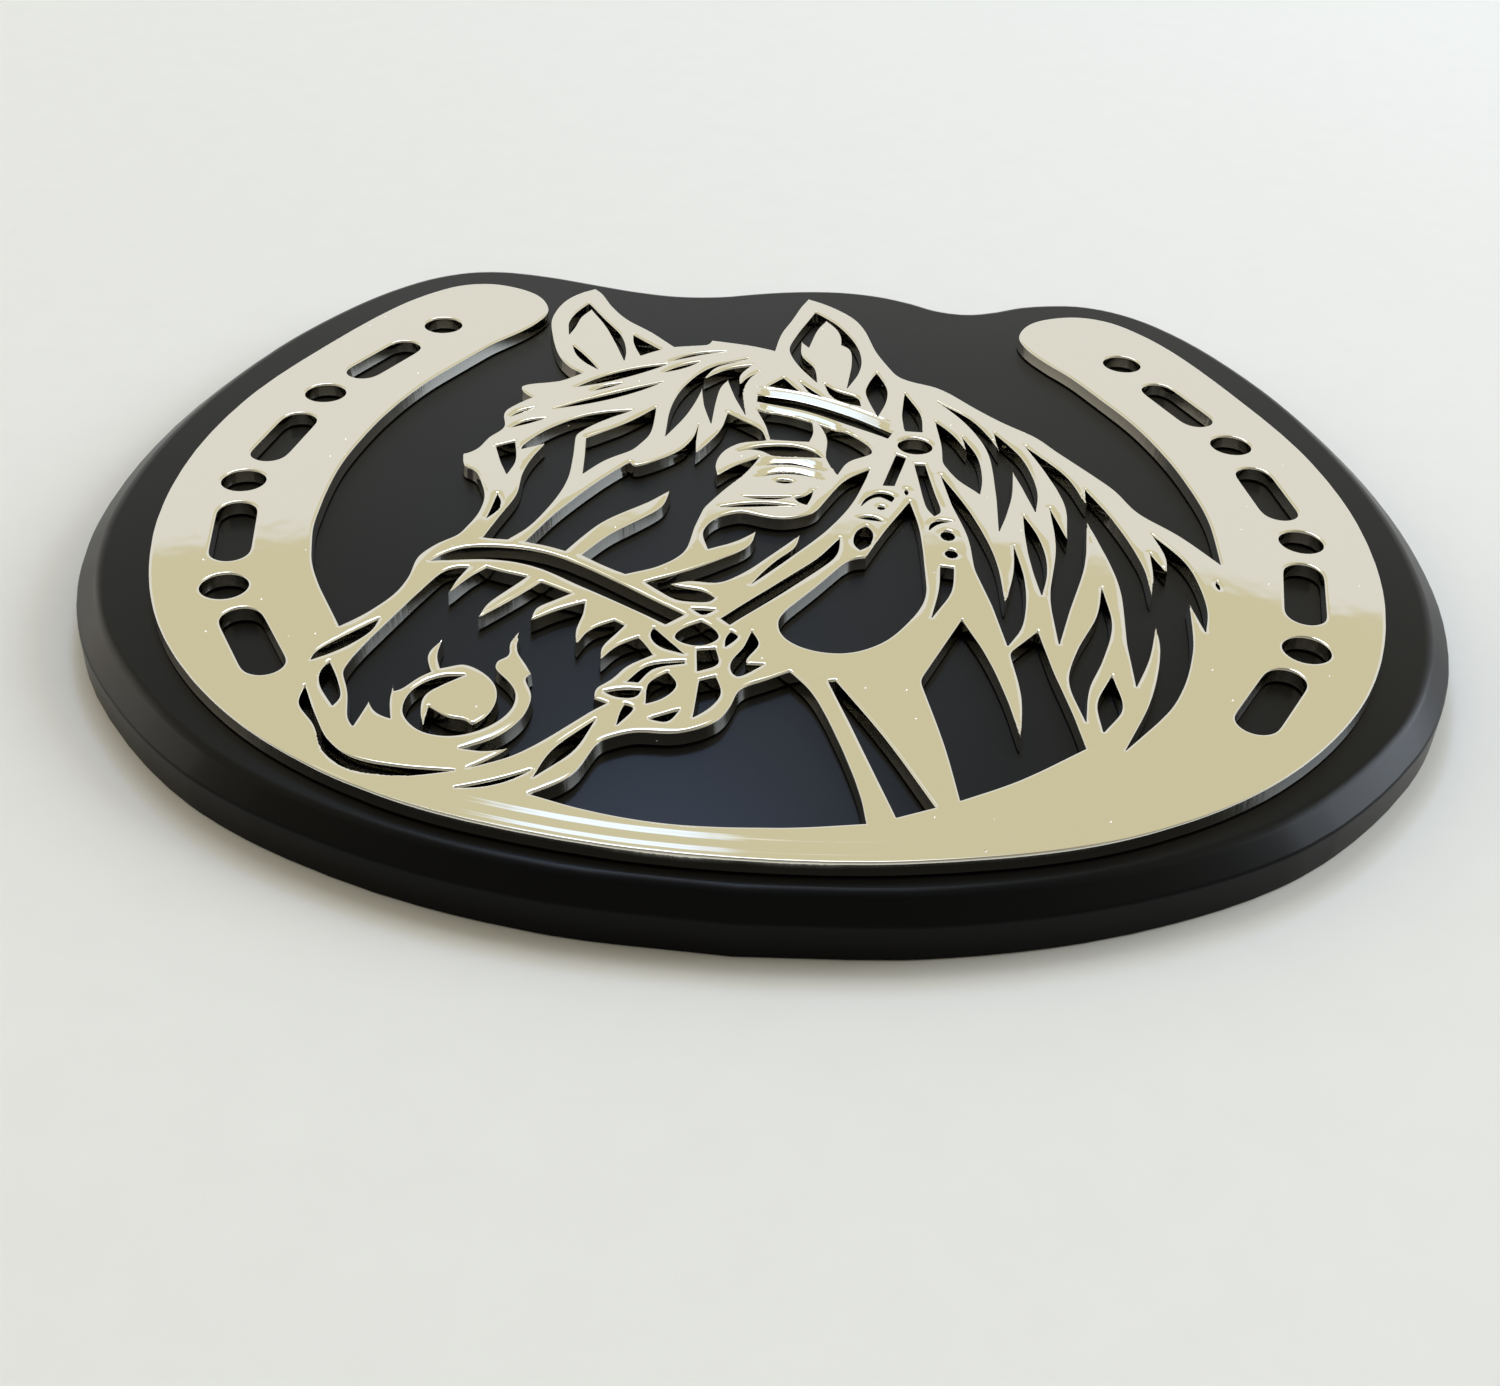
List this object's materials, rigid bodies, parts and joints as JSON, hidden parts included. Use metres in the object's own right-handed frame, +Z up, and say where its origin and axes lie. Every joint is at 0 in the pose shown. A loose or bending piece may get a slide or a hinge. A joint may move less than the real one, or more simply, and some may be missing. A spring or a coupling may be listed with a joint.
{
  "type": "horseshoe plaque",
  "caption": "Flat black plaque with a bevelled edge, carrying a pierced bright metal badge of a bridled horse's head inside a horseshoe.",
  "frame": {"origin": "middle of the plaque's outer box, on its flat underside", "axes": "+Z up out of the badge's face, +X across the plaque's width, +Y from the horseshoe's toe towards its heels and the horse's ears"},
  "size_m": [0.15, 0.1344, 0.0074],
  "materials": {
    "black_coating": "matte to satin black coating",
    "plating": "bright, slightly warm metal plating"
  },
  "bodies": {
    "root": {"base_plate": "black_coating", "horseshoe_badge": "plating"}
  },
  "joints": []
}
